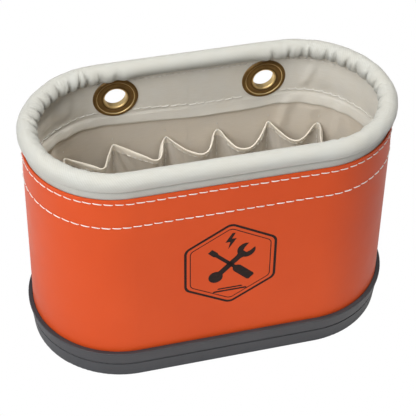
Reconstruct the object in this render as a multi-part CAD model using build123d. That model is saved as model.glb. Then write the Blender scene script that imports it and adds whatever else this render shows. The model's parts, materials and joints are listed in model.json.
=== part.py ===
from build123d import *
import math
import os

# Oval hard-body tool bucket with a sewn canvas liner and pockets.
#
# A wrapped plastic wall stands in a moulded base tray. A canvas liner with a reinforcing band,
# a padded rim and a ring of open-topped pockets lines the inside. Two brass grommets pass
# through the rear wall.
#
# Frame: millimetres, +Z up, front towards -Y, rear towards +Y, +X to the right of a person
# facing the front. The origin is the centre of the base's resting plane. Every horizontal
# section is a racetrack: two straights joined by half circles. A "radius" (R) of a racetrack
# is its half-width in Y.

STRAIGHT_HALF = 89.0    # half-length of the straight front and rear walls
GAP = 0.1               # clearance between layers
SNUG = 0.05             # clearance between pieces sewn or fitted tight
CLOTH = 0.9             # canvas thickness
THREAD_R = 0.45

# ---- base tray ----
BASE_H = 34.0
BASE_FOOT_R = 90.6
BASE_FOOT_R_IN = 78.0
BASE_R_GROOVE = 91.9    # outer radius just below the stitching groove
BASE_R_UNDER_LIP = 93.0
BASE_R_LIP = 94.0
BASE_RECESS = 1.6       # height of the floor's underside
BASE_FLOOR_Z = 4.2      # height of the floor's top
GROOVE_R = 91.0         # radius at the bottom of the groove
GROOVE_Z0, GROOVE_Z1 = 17.4, 18.9
GROOVE_CHAMFER = 0.3
RIB_RADII = (16.0, 36.0, 56.0)      # inner radii of the ribs under the floor
RIB_WIDTH = 3.0
RIB_Z = 0.5
RIB_OVERLAP = 0.4       # rise of the ribs into the floor

# ---- wall ----
SHELL_R_SKIRT = 89.5    # outer radius of the straight skirt, inside the tray
SHELL_R_TOP = 85.0
SHELL_T = 1.6
SHELL_Z_BOTTOM = BASE_FLOOR_Z + GAP
SHELL_Z_SKIRT = BASE_H  # top of the straight skirt
SHELL_Z_TOP = 225.2
SLOPE = (SHELL_R_SKIRT - SHELL_R_TOP) / (SHELL_Z_TOP - SHELL_Z_SKIRT)
DRAFT = math.atan(SLOPE)

LAP_HALF_WIDTH = 14.0   # the sheet overlaps itself at the rear
LAP_SINK = 0.8          # depth of the lap's inner face inside the wall
LAP_Z0 = 35.0
LAP_Z1 = SHELL_Z_TOP - 0.8

# ---- liner and reinforcing band ----
LINER_Z0, LINER_Z1 = 5.7, 232.0
LINER_FLOOR_R = 86.6
LINER_FLOOR_Z = 4.35
BAND_Z0, BAND_Z1 = 172.5, 231.5
BINDING_LEG = 8.0       # length of each leg of the L-shaped tape round the floor
BINDING_T = 1.0
BINDING_STITCH_INSET = 4.5

# ---- rim ----
RIM_R = 79.3            # racetrack radius of the rim's centre line
RIM_Z = 241.3
RIM_TUBE_R = 8.5
CORE_TUBE_R = 7.3
RIM_SKIRT_Z0 = 204.0    # how far down the rim cover runs behind the wall
RIM_SKIRT_Z1 = RIM_Z - 6.5

# ---- grommets ----
GROMMETS = {"left": (-73.3, 208.6), "right": (76.2, 206.2)}     # x, z of each centre
GROMMET_BORE_R = 10.7
GROMMET_BARREL_R = 11.9
GROMMET_HOLE_R = 12.05
GROMMET_FLANGE_R = 22.3
GROMMET_LIP = 1.7       # how far the eyelet stands out from the layers at each end
GROMMET_FIT = 0.06
WASHER_R = 21.0
WASHER_T = 0.92         # axial distance from the wall to the washer's outer face
CUTTER_START, CUTTER_LENGTH = -14.0, 34.0
RELIEF_Z0, RELIEF_DEPTH = 180.0, 3.0

# ---- pockets ----
POCKETS = 16
STRIP_POCKETS = POCKETS // 2
REAR_FIRST = -4         # number of the rear strip's first seam
FRONT_FIRST = REAR_FIRST + STRIP_POCKETS
POCKET_OFFSET = 3.0     # centre of the pocket between seams 0 and 1, from the rear's middle
REAR_PITCH = 53.9       # spacing of the seams round the rear half
POCKET_Z0, POCKET_Z1 = 28.1, 141.0
POCKET_DEPTH_BOTTOM, POCKET_DEPTH_TOP = 3.2, 19.0
POCKET_TAB = 5.0        # width of the flat tab at each seam
POCKET_FOLD = 0.23      # fraction of the pocket's width taken by each slanted side
STRIP_END_INSET = 0.4   # a strip's ends stop this far from its end seams
HEM_Z0 = 24.0           # bottom of the tape that closes the pockets' bottoms
HEM_Z1 = POCKET_Z0 - GAP
HEM_T = 4.3
HEM_FILLET = 0.8

# ---- sewing ----
RIM_ROW = (220.7, 227.3)    # z of the thread outside the wall and inside the band
BAND_ROW = (193.5, 189.0)
TRAY_THREAD_GAP = 0.04      # clearance of the base and floor threads
POCKET_THREAD_GAP = 0.12
END_SEAM_SHIFT = 1.2        # moves the thread of a strip's first seam onto the strip
LAP_SEAM_X = 9.0            # distance of each upright lap seam from the middle


def wall_outer_r(z):
    """Outer radius of the wall at height z."""
    return SHELL_R_SKIRT - max(0.0, z - SHELL_Z_SKIRT) * SLOPE


def wall_inner_r(z):
    return wall_outer_r(z) - SHELL_T


def liner_r(z):
    """Inner radius of the liner, which leaves room for the rim cover's skirt behind it."""
    return wall_inner_r(z) - 2 * (GAP + CLOTH)


def band_r(z):
    """Inner radius of the reinforcing band."""
    return liner_r(z) - GAP - CLOTH


# ---- shape helpers ----
def profile(points, fillets=()):
    """Closed face through (radius, height) points. fillets holds (point index, radius)."""
    face = make_face(Polyline(*points, close=True))
    for index, fillet_r in fillets:
        r, z = points[index]
        corner = min(face.vertices(), key=lambda v: (v.X - r) ** 2 + (v.Y - z) ** 2)
        face = fillet(corner, fillet_r)
    return face


def sheet(radius_at, heights, up_offset, down_offset, fillets=()):
    """Profile that goes up at one offset from radius_at(z) and back down at another."""
    up = [(radius_at(z) + up_offset, z) for z in heights]
    down = [(radius_at(z) + down_offset, z) for z in reversed(heights)]
    return profile(up + down, fillets)


def straight(face, half_length, turn=90):
    """Runs a (radius, height) face along X on the rear side, or the front with turn=-90."""
    section = Pos(-half_length, 0, 0) * Rot(0, 0, turn) * (Plane.XZ * face)
    return extrude(section, amount=2 * half_length, dir=(1, 0, 0))


def racetrack(face):
    """Carries a (radius, height) face round the racetrack: two half turns and two straights."""
    half = revolve(Plane.XZ * face, Axis.Z, 180)
    right = Pos(STRAIGHT_HALF, 0, 0) * Rot(0, 0, -90) * half
    left = Pos(-STRAIGHT_HALF, 0, 0) * Rot(0, 0, 90) * half
    rear = straight(face, STRAIGHT_HALF)
    front = straight(face, STRAIGHT_HALF, turn=-90)
    return right + rear + left + front


def plate(radius, z0, z1):
    """A flat racetrack plate."""
    outline = SlotCenterToCenter(2 * STRAIGHT_HALF, 2 * radius)
    return extrude(Pos(0, 0, z0) * outline, amount=z1 - z0)


def ring_tube(radius, z, tube_r):
    return racetrack(Pos(radius, z) * Circle(tube_r))


def thread(start, end):
    """A straight length of thread."""
    start = Vector(*start)
    run = Vector(*end) - start
    plane = Plane(origin=start, z_dir=run.normalized())
    return (plane * extrude(Circle(THREAD_R), amount=run.length)).solid()


def grommet_plane(side):
    """Local +Z runs outward along the rear wall's normal, from the band's inner face."""
    x, z = GROMMETS[side]
    return Plane(
        origin=(x, band_r(z), z),
        x_dir=(1, 0, 0),
        z_dir=(0, math.cos(DRAFT), math.sin(DRAFT)),
    )


def drill(body, radius=GROMMET_HOLE_R):
    """Cuts a round hole through body at both grommets."""
    for side in GROMMETS:
        cutter = Pos(0, 0, CUTTER_START) * extrude(Circle(radius), amount=CUTTER_LENGTH)
        body = body - grommet_plane(side) * cutter
    return body


# ---- pocket layout ----
TRACK_R = liner_r(80.0)     # lengths along the racetrack are measured at this radius
TRACK_END = math.pi * TRACK_R
PERIMETER = 4 * STRAIGHT_HALF + 2 * TRACK_END
FRONT_PITCH = (PERIMETER - REAR_PITCH * STRIP_POCKETS) / STRIP_POCKETS


def track_point(length, radius):
    """Plan point at a length along the racetrack, from the rear's middle towards +X."""
    side = 2 * STRAIGHT_HALF
    length = (length + STRAIGHT_HALF) % PERIMETER
    if length < side:
        return (length - STRAIGHT_HALF, radius)
    length -= side
    if length < TRACK_END:
        angle = math.pi / 2 - length / TRACK_R
        return (STRAIGHT_HALF + radius * math.cos(angle), radius * math.sin(angle))
    length -= TRACK_END
    if length < side:
        return (STRAIGHT_HALF - length, -radius)
    length -= side
    angle = -math.pi / 2 - length / TRACK_R
    return (-STRAIGHT_HALF + radius * math.cos(angle), radius * math.sin(angle))


def seam(i):
    """Length along the racetrack to seam i: -4 to 4 bound the rear strip, 4 to 12 the front."""
    if i <= FRONT_FIRST:
        return POCKET_OFFSET + (i - 0.5) * REAR_PITCH
    return seam(FRONT_FIRST) + (i - FRONT_FIRST) * FRONT_PITCH


def strip_wire(first, z, depth):
    """Outline of a strip at height z: flat tabs at the seams, flat-fronted bulges between."""
    path = [(seam(first) + STRIP_END_INSET, 0.0)]       # length, distance off the liner
    for i in range(first, first + STRIP_POCKETS):
        a, b = seam(i), seam(i + 1)
        fold = POCKET_FOLD * (b - a)
        path += [
            (a + POCKET_TAB / 2, 0.0),
            (a + fold, depth),
            (b - fold, depth),
            (b - POCKET_TAB / 2, 0.0),
        ]
    path.append((seam(first + STRIP_POCKETS) - STRIP_END_INSET, 0.0))
    back_r = liner_r(z) - SNUG
    outer = [track_point(length, back_r - off) for length, off in path]
    inner = [track_point(length, back_r - off - CLOTH) for length, off in path]
    outline = [(x, y, z) for x, y in outer + inner[::-1]]
    return Wire(Polyline(*outline, close=True).edges())


# ---- pieces ----
def outer_shell():
    heights = (SHELL_Z_BOTTOM, SHELL_Z_SKIRT, SHELL_Z_TOP)
    wall = racetrack(sheet(wall_outer_r, heights, 0.0, -SHELL_T, ((2, 0.6), (3, 0.4))))
    lap_section = sheet(
        wall_outer_r, (LAP_Z0, LAP_Z1), SHELL_T, -LAP_SINK, ((0, 0.5), (1, 0.5))
    )
    return drill(wall + straight(lap_section, LAP_HALF_WIDTH))


def base_tray():
    socket_r = SHELL_R_SKIRT + GAP
    points = [
        (BASE_FOOT_R_IN, 0.0),
        (BASE_FOOT_R, 0.0),
        (BASE_R_GROOVE, GROOVE_Z0 - GROOVE_CHAMFER),
        (GROOVE_R, GROOVE_Z0),
        (GROOVE_R, GROOVE_Z1),
        (BASE_R_GROOVE + 0.15, GROOVE_Z1 + GROOVE_CHAMFER),
        (BASE_R_UNDER_LIP, BASE_H - 3.6),
        (BASE_R_LIP, BASE_H - 2.8),
        (BASE_R_LIP, BASE_H),
        (socket_r, BASE_H),
        (socket_r, BASE_FLOOR_Z),
        (BASE_FOOT_R_IN, BASE_FLOOR_Z),
    ]
    tray = racetrack(profile(points, ((1, 1.4), (8, 0.9), (7, 0.5), (9, 0.4))))
    tray = tray + plate(BASE_FOOT_R_IN + 0.5, BASE_RECESS, BASE_FLOOR_Z)
    rib_top = BASE_RECESS + RIB_OVERLAP
    for r in RIB_RADII:
        rib = [(r, RIB_Z), (r + RIB_WIDTH, RIB_Z), (r + RIB_WIDTH, rib_top), (r, rib_top)]
        tray = tray + racetrack(profile(rib))
    return tray


def base_stitching():
    return ring_tube(
        GROOVE_R + THREAD_R + TRAY_THREAD_GAP, (GROOVE_Z0 + GROOVE_Z1) / 2, THREAD_R
    )


def liner_wall():
    heights = (LINER_Z0, SHELL_Z_SKIRT, LINER_Z1)
    return drill(racetrack(sheet(liner_r, heights, CLOTH, 0.0)))


def upper_band():
    return drill(racetrack(sheet(band_r, (BAND_Z0, BAND_Z1), CLOTH, 0.0)))


BINDING_R = liner_r(20.0) - GAP
BINDING_Z = LINER_FLOOR_Z + CLOTH + GAP


def floor_binding():
    """L-shaped tape in the corner between the liner's wall and floor."""
    r, z = BINDING_R, BINDING_Z
    return racetrack(
        profile(
            [
                (r, z),
                (r, z + BINDING_LEG),
                (r - BINDING_T, z + BINDING_LEG),
                (r - BINDING_T, z + BINDING_T),
                (r - BINDING_LEG, z + BINDING_T),
                (r - BINDING_LEG, z),
            ]
        )
    )


def floor_stitching():
    z = BINDING_Z + BINDING_T + THREAD_R + TRAY_THREAD_GAP
    return ring_tube(BINDING_R - BINDING_STITCH_INSET, z, THREAD_R)


def rim_cover():
    """Canvas sleeve round the core, with a skirt between the wall and the liner."""
    sleeve = ring_tube(RIM_R, RIM_Z, RIM_TUBE_R)
    skirt = racetrack(
        sheet(wall_inner_r, (RIM_SKIRT_Z0, RIM_SKIRT_Z1), -GAP, -GAP - CLOTH)
    )
    return drill((sleeve + skirt) - ring_tube(RIM_R, RIM_Z, CORE_TUBE_R + SNUG))


def pocket_strip(first):
    low = strip_wire(first, POCKET_Z0, POCKET_DEPTH_BOTTOM)
    high = strip_wire(first, POCKET_Z1, POCKET_DEPTH_TOP)
    return Solid.make_loft([low, high], ruled=True)


def pocket_hem_tape():
    outer = liner_r(HEM_Z0) - SNUG
    inner = outer - HEM_T
    points = [(outer, HEM_Z0), (outer, HEM_Z1), (inner, HEM_Z1), (inner, HEM_Z0)]
    return racetrack(profile(points, ((2, HEM_FILLET), (3, HEM_FILLET))))


# thickness of all the layers that the grommets clamp
CLAMPED_T = wall_outer_r(207.0) - band_r(207.0)


def turned(side, points, fillets=()):
    """(radius, axial) profile revolved about a grommet's axis."""
    return grommet_plane(side) * revolve(Plane.XZ * profile(points, fillets), Axis.Z, 360)


def grommet_eyelet(side):
    points = [
        (GROMMET_BORE_R, -GROMMET_LIP),
        (13.4, -GROMMET_LIP),
        (15.4, -0.95),
        (18.0, -0.95),
        (19.0, -GROMMET_LIP),
        (21.0, -GROMMET_LIP),
        (GROMMET_FLANGE_R, -0.8),
        (GROMMET_FLANGE_R, -GROMMET_FIT),
        (GROMMET_BARREL_R, -GROMMET_FIT),
        (GROMMET_BARREL_R, CLAMPED_T + 1.0),
        (14.4, CLAMPED_T + 1.0),
        (14.4, CLAMPED_T + GROMMET_LIP),
        (GROMMET_BORE_R, CLAMPED_T + GROMMET_LIP),
    ]
    fillets = (
        (0, 1.5), (1, 0.7), (2, 0.4), (3, 0.4),
        (4, 0.5), (5, 0.6), (11, 0.5), (12, 1.5),
    )
    # the band curves in under the flange's outer edge, which is formed over it
    relief = drill(racetrack(sheet(band_r, (RELIEF_Z0, BAND_Z1), -SNUG, RELIEF_DEPTH)))
    return turned(side, points, fillets) - relief


def grommet_washer(side):
    points = [
        (GROMMET_HOLE_R, CLAMPED_T + GROMMET_FIT),
        (WASHER_R, CLAMPED_T + GROMMET_FIT),
        (WASHER_R, CLAMPED_T + 0.4),
        (WASHER_R - 0.9, CLAMPED_T + WASHER_T),
        (GROMMET_HOLE_R, CLAMPED_T + WASHER_T),
    ]
    return turned(side, points)


def stitch_row(z_out, z_in):
    """Threads outside the wall and inside the band, broken at the grommets.

    The outside thread is also broken at the rear lap, where a separate length runs over it.
    """
    wall_r = wall_outer_r(z_out)
    lap_block = Pos(0, wall_r, z_out) * Box(2 * LAP_HALF_WIDTH + 1.0, 12, 12)
    outside = ring_tube(wall_r + THREAD_R + SNUG, z_out, THREAD_R) - lap_block
    inside = ring_tube(band_r(z_in) - THREAD_R - SNUG, z_in, THREAD_R)
    over_section = Pos(wall_r + SHELL_T + THREAD_R + SNUG, z_out) * Circle(THREAD_R)
    over_lap = straight(over_section, LAP_HALF_WIDTH - 0.5)
    solids = []
    for body in (outside, inside):
        solids += list(drill(body, GROMMET_FLANGE_R + 0.6).solids())
    return Compound(solids + list(over_lap.solids()))


def pocket_seam_stitching():
    """One upright thread at each pocket seam."""
    threads = []
    for i in range(REAR_FIRST, REAR_FIRST + POCKETS):
        length = seam(i) + (END_SEAM_SHIFT if i in (REAR_FIRST, FRONT_FIRST) else 0.0)
        ends = []
        for z in (POCKET_Z0 + 3.0, POCKET_Z1 - 1.0):
            radius = liner_r(z) - SNUG - CLOTH - THREAD_R - POCKET_THREAD_GAP
            ends.append((*track_point(length, radius), z))
        threads.append(thread(*ends))
    return Compound(threads)


def shell_seam_stitching():
    """Two upright threads on the rear lap, ending below the band's row."""
    threads = []
    for x in (-LAP_SEAM_X, LAP_SEAM_X):
        ends = [
            (x, wall_outer_r(z) + SHELL_T + THREAD_R + SNUG, z)
            for z in (LAP_Z0 + 4, BAND_ROW[0] - 3)
        ]
        threads.append(thread(*ends))
    return Compound(threads)


parts = {
    "outer_shell": outer_shell(),
    "base_tray": base_tray(),
    "base_stitching": base_stitching(),
    "liner_wall": liner_wall(),
    "liner_floor": plate(LINER_FLOOR_R, LINER_FLOOR_Z, LINER_FLOOR_Z + CLOTH),
    "floor_binding": floor_binding(),
    "floor_stitching": floor_stitching(),
    "upper_band": upper_band(),
    "rim_core": ring_tube(RIM_R, RIM_Z, CORE_TUBE_R),
    "rim_cover": rim_cover(),
    "rear_pocket_strip": pocket_strip(REAR_FIRST),
    "front_pocket_strip": pocket_strip(FRONT_FIRST),
    "pocket_hem_tape": pocket_hem_tape(),
    "rim_stitching": stitch_row(*RIM_ROW),
    "band_stitching": stitch_row(*BAND_ROW),
    "pocket_seam_stitching": pocket_seam_stitching(),
    "shell_seam_stitching": shell_seam_stitching(),
}
for side in GROMMETS:
    parts[f"grommet_eyelet_{side}"] = grommet_eyelet(side)
    parts[f"grommet_washer_{side}"] = grommet_washer(side)

os.makedirs("parts", exist_ok=True)
for name, shape in parts.items():
    solids = list(shape.solids())
    piece = solids[0] if len(solids) == 1 else Compound(solids)
    export_step(piece, f"parts/{name}.step")
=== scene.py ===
"""A canvas-lined bucket, racetrack-shaped in plan, standing on z = 0.

The long axis lies along X, the rear wall with its two brass eyelets faces +Y and the printed front
faces -Y. An orange shell stands in a black base tray. Inside are a canvas liner with an upper band
and sixteen pockets, and a gathered canvas cover goes over the cord round the rim. The hard parts
keep their CAD meshes. Lengths are in millimetres until they reach a mesh, a light or the camera.
"""
import json
import math

import bmesh
import bpy
import numpy as np
from mathutils import Matrix, Vector
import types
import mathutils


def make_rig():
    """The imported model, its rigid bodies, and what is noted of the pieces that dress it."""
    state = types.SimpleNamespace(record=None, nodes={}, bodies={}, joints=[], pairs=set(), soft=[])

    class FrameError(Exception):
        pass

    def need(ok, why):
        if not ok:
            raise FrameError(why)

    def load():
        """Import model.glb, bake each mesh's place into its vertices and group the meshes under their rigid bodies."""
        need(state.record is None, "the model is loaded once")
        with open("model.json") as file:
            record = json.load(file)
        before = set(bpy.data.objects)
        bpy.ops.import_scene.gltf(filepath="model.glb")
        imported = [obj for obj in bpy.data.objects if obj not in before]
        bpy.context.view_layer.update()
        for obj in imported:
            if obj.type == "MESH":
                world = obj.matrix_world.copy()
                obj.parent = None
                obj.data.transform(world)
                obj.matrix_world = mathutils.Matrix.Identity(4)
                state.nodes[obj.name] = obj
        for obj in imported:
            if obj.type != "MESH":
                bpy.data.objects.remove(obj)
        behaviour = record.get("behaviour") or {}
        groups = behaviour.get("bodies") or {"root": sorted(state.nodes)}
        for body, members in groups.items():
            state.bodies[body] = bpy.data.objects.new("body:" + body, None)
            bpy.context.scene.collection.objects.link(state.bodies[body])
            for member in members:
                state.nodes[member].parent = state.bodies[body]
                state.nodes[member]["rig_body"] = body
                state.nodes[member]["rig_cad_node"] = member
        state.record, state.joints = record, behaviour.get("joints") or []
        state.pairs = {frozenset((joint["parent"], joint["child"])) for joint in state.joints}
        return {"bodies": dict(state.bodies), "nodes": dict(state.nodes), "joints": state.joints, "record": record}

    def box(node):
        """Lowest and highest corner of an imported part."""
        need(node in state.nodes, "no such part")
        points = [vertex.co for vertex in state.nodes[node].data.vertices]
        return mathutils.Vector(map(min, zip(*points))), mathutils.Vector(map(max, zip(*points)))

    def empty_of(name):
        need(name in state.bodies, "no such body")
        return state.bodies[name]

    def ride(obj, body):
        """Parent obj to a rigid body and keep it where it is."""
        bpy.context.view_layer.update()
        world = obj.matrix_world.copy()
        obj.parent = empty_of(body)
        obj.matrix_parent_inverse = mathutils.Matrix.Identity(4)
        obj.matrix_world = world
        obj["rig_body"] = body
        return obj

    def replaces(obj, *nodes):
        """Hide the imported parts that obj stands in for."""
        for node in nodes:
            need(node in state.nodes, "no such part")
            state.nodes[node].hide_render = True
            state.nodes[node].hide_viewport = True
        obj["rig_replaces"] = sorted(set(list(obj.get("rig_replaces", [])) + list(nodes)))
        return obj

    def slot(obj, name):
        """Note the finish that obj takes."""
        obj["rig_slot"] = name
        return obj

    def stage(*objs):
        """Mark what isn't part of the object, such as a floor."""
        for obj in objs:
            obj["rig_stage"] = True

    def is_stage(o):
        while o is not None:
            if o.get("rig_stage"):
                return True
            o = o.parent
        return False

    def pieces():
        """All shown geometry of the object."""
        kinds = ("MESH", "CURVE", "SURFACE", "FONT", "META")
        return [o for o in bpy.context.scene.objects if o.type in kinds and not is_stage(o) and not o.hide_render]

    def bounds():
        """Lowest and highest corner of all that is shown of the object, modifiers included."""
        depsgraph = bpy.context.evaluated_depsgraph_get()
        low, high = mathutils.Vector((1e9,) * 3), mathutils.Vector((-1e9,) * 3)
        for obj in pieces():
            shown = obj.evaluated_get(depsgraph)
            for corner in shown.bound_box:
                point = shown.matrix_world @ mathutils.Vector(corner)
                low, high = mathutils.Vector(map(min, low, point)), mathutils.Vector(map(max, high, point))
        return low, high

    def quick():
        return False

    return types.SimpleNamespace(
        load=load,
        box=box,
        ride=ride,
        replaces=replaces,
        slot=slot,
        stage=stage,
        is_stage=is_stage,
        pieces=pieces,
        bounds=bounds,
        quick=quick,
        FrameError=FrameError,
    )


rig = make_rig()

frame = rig.load()
cad_lo, cad_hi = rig.bounds()
scene = bpy.context.scene
MM = 0.001

# ------------------------------------------------------------------ driving dimensions
STRAIGHT = 89.0               # half-length of the straight walls
SKIRT_R, TOP_R = 89.5, 85.0   # the shell's outer racetrack radius, at the two heights below
SKIRT_Z, TOP_Z = 34.0, 225.2
SHELL_T = 1.6
SLOPE = (SKIRT_R - TOP_R) / (TOP_Z - SKIRT_Z)
DRAFT = math.atan(SLOPE)
LAP_HALF, LAP_T = 14.0, 1.6   # the shell's lap up the middle of the rear wall
SEAM_X = 9.0                  # its two stitch lines, either side of the middle

TRACK_R = 84.4                # the racetrack radius that lengths along the wall are measured on
END = math.pi * TRACK_R       # length round one end
PERIM = 4 * STRAIGHT + 2 * END

RIM_R, RIM_Z, RIM_TUBE = 79.3, 241.3, 8.5    # the roll's centre line and its section radius
COVER_T = 1.1

BAND_Z0 = 172.5               # lower edge of the upper band
ROW1_OUT, ROW2_OUT = 220.7, 193.5            # stitch rows on the shell
ROW1_IN, ROW2_IN = 227.3, 189.0              # the same two rows on the band
STITCH_PITCH = 9.3

POCKETS = 16
POCKET_OFFSET = 3.0
REAR_PITCH = 53.9
FRONT_PITCH = (PERIM - REAR_PITCH * POCKETS / 2) / (POCKETS / 2)
POCKET_FOOT, POCKET_PEAK = 28.1, 150.0
COLUMNS = 26                  # mesh columns per pocket


def eyelet_centre(side):
    lo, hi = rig.box("grommet_eyelet_" + side)
    return (lo.x + hi.x) / 2 / MM, (lo.z + hi.z) / 2 / MM


EYELETS = [eyelet_centre("left"), eyelet_centre("right")]    # (x, z) on the rear wall
HOLE_R, HOLE_CUT_R = 12.6, 13.5    # finished holes in the cloth, and where its mesh is cut away


# ------------------------------------------------------------------ curves and noise
def ease(t):
    """Smooth step from 0 to 1."""
    t = np.clip(t, 0, 1)
    return t * t * (3 - 2 * t)


def bell(distance, width):
    return np.exp(-(distance / width) ** 2)


def wrap(u):
    """Lengths along the wall, brought within half a turn of the rear wall's middle."""
    return np.mod(u + PERIM / 2, PERIM) - PERIM / 2


def smooth_noise(x, seed):
    """Smooth 1-D value noise of unit spacing."""
    size = 4096
    values = np.random.RandomState(seed).uniform(-1, 1, size)
    x = np.asarray(x, float)
    i = np.floor(x).astype(int)
    f = ease(x - i)
    return values[i % size] * (1 - f) + values[(i + 1) % size] * f


def noise2(x, y, seed):
    """Smooth 2-D value noise of unit spacing."""
    size = 256
    values = np.random.RandomState(seed).uniform(-1, 1, (size, size))
    x, y = np.broadcast_arrays(np.asarray(x, float), np.asarray(y, float))
    i, j = np.floor(x).astype(int), np.floor(y).astype(int)
    f, g = ease(x - i), ease(y - j)

    def value(a, b):
        return values[a % size, b % size]

    low = value(i, j) * (1 - f) + value(i + 1, j) * f
    high = value(i, j + 1) * (1 - f) + value(i + 1, j + 1) * f
    return low * (1 - g) + high * g


# ------------------------------------------------------------------ the racetrack
def track(u, r):
    """Points and outward normals at length u (from the middle of the rear wall towards +X) and
    racetrack radius r. Arrays broadcast."""
    u, r = np.broadcast_arrays(np.asarray(u, float), np.asarray(r, float))
    along = np.mod(u + STRAIGHT, PERIM)
    # rear wall, +X end, front wall; the -X end is what remains
    parts = [along < 2 * STRAIGHT, along < 2 * STRAIGHT + END, along < 4 * STRAIGHT + END]
    angle = np.select(
        parts, [math.pi / 2, math.pi / 2 - (along - 2 * STRAIGHT) / TRACK_R, -math.pi / 2],
        -math.pi / 2 - (along - 4 * STRAIGHT - END) / TRACK_R)
    centre_x = np.select(
        parts, [along - STRAIGHT, STRAIGHT, STRAIGHT - (along - 2 * STRAIGHT - END)], -STRAIGHT)
    nx, ny = np.cos(angle), np.sin(angle)
    return centre_x + r * nx, r * ny, nx, ny


def at(u, r, z):
    """Points at length u, racetrack radius r and height z."""
    x, y, _, _ = track(u, r)
    return np.stack(np.broadcast_arrays(x, y, z), -1)


def from_track(points):
    """Each point's centre on the long axis, racetrack radius and outward direction."""
    centre_x = np.clip(points[..., 0], -STRAIGHT, STRAIGHT)
    dx, dy = points[..., 0] - centre_x, points[..., 1]
    r = np.sqrt(dx * dx + dy * dy)
    return centre_x, r, dx / np.maximum(r, 1e-9), dy / np.maximum(r, 1e-9)


def on_end(u):
    """0 on the straights, rising smoothly to 1 inside the end arcs."""
    along = np.mod(np.asarray(u, float) + STRAIGHT, PERIM)
    right = np.minimum(along - 2 * STRAIGHT, 2 * STRAIGHT + END - along)
    left = np.minimum(along - (4 * STRAIGHT + END), PERIM - along)
    return ease((np.maximum(right, left) + 22.0) / 50.0)


def eyelet_distance(x, z):
    """Distance from the nearer eyelet's axis, across the rear wall."""
    left, right = (np.hypot(np.asarray(x) - ex, z - ez) for ex, ez in EYELETS)
    return np.minimum(left, right)


def shell_radius(z):
    return SKIRT_R - np.maximum(0.0, np.asarray(z, float) - SKIRT_Z) * SLOPE


def liner_radius(z):
    return shell_radius(z) - SHELL_T - 2.0


def band_radius(z):
    return liner_radius(z) - 1.0


# ------------------------------------------------------------------ meshes
def shade_smooth(mesh):
    mesh.polygons.foreach_set("use_smooth", [True] * len(mesh.polygons))


def make_object(name, verts, faces, uvs=None, smooth=True):
    """Vertices, and the one UV pair per vertex, are in millimetres. A UV unit is 100 mm."""
    mesh = bpy.data.meshes.new(name)
    verts = np.asarray(verts, float) * MM
    mesh.from_pydata(verts.tolist(), [], [tuple(int(i) for i in face) for face in faces])
    mesh.update()
    if uvs is not None:
        layer = mesh.uv_layers.new(name="UVMap")
        corners = np.zeros(len(mesh.loops), int)
        mesh.loops.foreach_get("vertex_index", corners)
        values = (np.asarray(uvs, float)[corners] * 0.01).astype(np.float32)
        layer.data.foreach_set("uv", values.ravel())
    if smooth:
        shade_smooth(mesh)
    obj = bpy.data.objects.new(name, mesh)
    scene.collection.objects.link(obj)
    return obj


def grid_faces(nu, nv, close_u=True, close_v=True):
    i, j = np.meshgrid(np.arange(nu if close_u else nu - 1),
                       np.arange(nv if close_v else nv - 1), indexing="ij")
    i, j = i.ravel(), j.ravel()
    i2, j2 = (i + 1) % nu, (j + 1) % nv
    return np.stack([i * nv + j, i2 * nv + j, i2 * nv + j2, i * nv + j2], 1)


def uv_grid(u, v):
    return np.stack(np.broadcast_arrays(u, v), -1)


def outward(obj, repair=None):
    """Makes the normals of a closed mesh point out of it, after an optional repair."""
    bm = bmesh.new()
    bm.from_mesh(obj.data)
    if repair:
        repair(bm)
    bmesh.ops.recalc_face_normals(bm, faces=bm.faces)
    bm.to_mesh(obj.data)
    bm.free()


def there_and_back(front, back):
    """Joins two grids into loops that run up the first and down the second."""
    return np.concatenate([front, back[:, ::-1]], 1)


def line_holes(bm):
    """Rounds the eyelet holes cut in both faces of a sheet and joins each pair by a wall."""
    loose = [v for v in bm.verts if not v.link_faces]
    bmesh.ops.delete(bm, geom=loose, context="VERTS")
    for edge in [e for e in bm.edges if e.is_boundary]:
        for v in edge.verts:
            ex, ez = EYELETS[1] if v.co.x > 0 else EYELETS[0]
            dx, dz = v.co.x / MM - ex, v.co.z / MM - ez
            d = math.hypot(dx, dz)
            v.co.x = (ex + dx / d * HOLE_R) * MM
            v.co.z = (ez + dz / d * HOLE_R) * MM
    for side in (-1, 1):
        edges = [e for e in bm.edges if e.is_boundary and e.verts[0].co.x * side > 0]
        # bridging raises an error unless it finds two clean loops; the hole is then left unlined
        try:
            bmesh.ops.bridge_loops(bm, edges=edges)
        except RuntimeError:
            pass


def sheet(name, front, back, uv, eyelet_holes=False):
    """A closed sheet of cloth all round the bucket, between two grids of points."""
    verts = there_and_back(front, back)
    faces = grid_faces(*verts.shape[:2])
    verts = verts.reshape(-1, 3)
    if eyelet_holes:
        cut = (verts[:, 1] > 0) & (eyelet_distance(verts[:, 0], verts[:, 2]) < HOLE_CUT_R)
        faces = faces[~cut[faces].any(1)]
    obj = make_object(name, verts, faces, there_and_back(uv, uv).reshape(-1, 2))
    if eyelet_holes:
        outward(obj, line_holes)
        shade_smooth(obj.data)
    else:
        outward(obj)
    return obj


def subdivide(obj):
    subsurf = obj.modifiers.new("subsurf", "SUBSURF")
    subsurf.levels = 1
    subsurf.render_levels = 1


def fit(obj, mat, slot, node=None):
    """Gives an object its material and its place in the frame."""
    obj.data.materials.append(mat)
    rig.ride(obj, "root")
    if node:
        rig.replaces(obj, node)
    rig.slot(obj, slot)


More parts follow.
